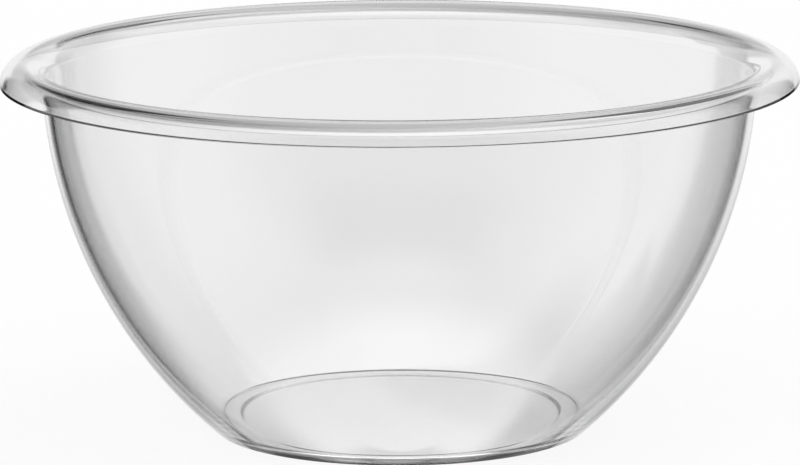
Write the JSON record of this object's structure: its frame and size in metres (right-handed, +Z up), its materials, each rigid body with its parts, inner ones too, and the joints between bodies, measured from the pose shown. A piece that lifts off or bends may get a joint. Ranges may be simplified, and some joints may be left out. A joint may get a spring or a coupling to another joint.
{
  "type": "salad bowl",
  "caption": "Round clear plastic bowl with curved walls, a rolled rim that is hollow underneath, and a flat ring foot; holds and serves salad.",
  "frame": {"origin": "centre of the foot, on the surface that the bowl stands on", "axes": "+Z up the bowl's axis to the mouth; the bowl is round, so X and Y are free, and the picture looks along +Y"},
  "size_m": [0.28, 0.28, 0.1317],
  "materials": {
    "clear_plastic": "clear and polished"
  },
  "bodies": {
    "root": {"bowl": "clear_plastic"}
  },
  "joints": []
}
